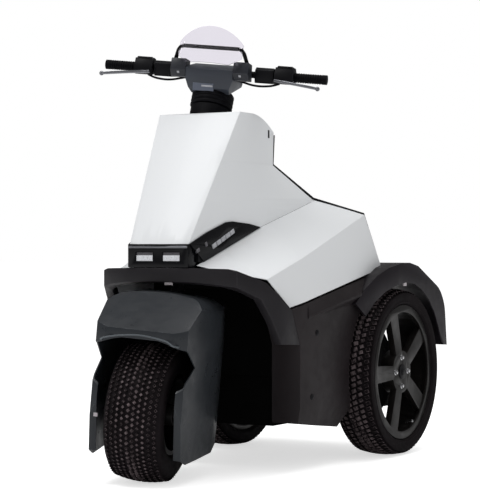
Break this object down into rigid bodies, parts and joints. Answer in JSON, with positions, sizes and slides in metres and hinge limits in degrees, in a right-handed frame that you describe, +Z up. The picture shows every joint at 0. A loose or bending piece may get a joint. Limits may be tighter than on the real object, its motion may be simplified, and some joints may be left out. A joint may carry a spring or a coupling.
{
  "type": "stand-up electric three-wheeler",
  "caption": "Stand-up electric patrol three-wheeler: fat steered front wheel under a shroud, white angular nose and shoulders, deck between larger rear wheels, handlebar with small screen.",
  "frame": {"origin": "centre of the vehicle's bounding box at ground level, as parked with the steering turned 16 degrees left", "axes": "+X forward, +Y to the rider's left, +Z up"},
  "size_m": [1.6281, 0.8, 1.4545],
  "materials": {
    "tyre": "matte",
    "rim_black": "satin",
    "frame_black": "satin",
    "steel": "satin",
    "lever_alloy": "satin",
    "grip_rubber": "matte",
    "mat_rubber": "matte",
    "black_plastic": "matte",
    "black_gloss": "gloss",
    "bumper_black": "satin",
    "console_grey": "satin",
    "shroud_grey": "satin",
    "panel_grey": "satin",
    "fender_black": "satin",
    "chassis_black": "satin",
    "deck_alloy": "satin",
    "white_gloss": "gloss",
    "light_bar": "gloss",
    "lamp_lens": "clear",
    "clear_glass": "clear",
    "tail_red": "gloss"
  },
  "bodies": {
    "root": {"head_tube": "frame_black", "rear_axles": "steel", "shoulder_panel_left": "white_gloss", "shoulder_panel_right": "white_gloss", "nose_fairing": "white_gloss", "side_vents": "black_plastic", "side_light_bars": "light_bar", "inner_cowl": "black_plastic", "edge_trim": "black_plastic", "front_bumper": "bumper_black", "lamp_strip": "black_gloss", "headlamps": "lamp_lens", "side_panel_left": "panel_grey", "side_panel_right": "panel_grey", "chassis_tub": "chassis_black", "battery_pack": "chassis_black", "deck": "deck_alloy", "deck_mat": "mat_rubber", "rear_fender_left": "fender_black", "rear_fender_right": "fender_black", "tail_lamps": "tail_red", "rear_door": "panel_grey", "wheel_well_liner": "panel_grey"},
    "steering": {"steering_stem": "frame_black", "fork_crown": "frame_black", "fork_leg_left": "frame_black", "fork_leg_right": "frame_black", "front_axle": "steel", "front_shroud": "shroud_grey", "shroud_bridge": "frame_black", "neck_boot": "grip_rubber", "handlebar": "frame_black", "grips": "grip_rubber", "switch_pods": "black_plastic", "brake_levers": "lever_alloy", "console": "console_grey", "console_pods": "black_plastic", "windshield": "clear_glass", "windshield_frame": "frame_black"},
    "front_wheel": {"front_tyre": "tyre", "front_rim": "rim_black"},
    "rear_wheel_left": {"rear_tyre_left": "tyre", "rear_rim_left": "rim_black"},
    "rear_wheel_right": {"rear_tyre_right": "tyre", "rear_rim_right": "rim_black"}
  },
  "joints": [
    {"name": "steering_turn", "type": "hinge", "parent": "root", "child": "steering", "pos_m": [0.208, 0, 1.2033], "axis": [-0.3338, 0, 0.9426], "range_deg": [-61.3, 28.7]},
    {"name": "front_wheel_spin", "type": "hinge", "parent": "steering", "child": "front_wheel", "pos_m": [0.59461, 0.01032, 0.21731], "axis": [-0.2646, 0.9598, -0.0937], "continuous": true},
    {"name": "rear_left_spin", "type": "hinge", "parent": "root", "child": "rear_wheel_left", "pos_m": [-0.46, 0.322, 0.293], "axis": [0, 1, 0], "continuous": true},
    {"name": "rear_right_spin", "type": "hinge", "parent": "root", "child": "rear_wheel_right", "pos_m": [-0.46, -0.322, 0.293], "axis": [0, 1, 0], "continuous": true}
  ]
}
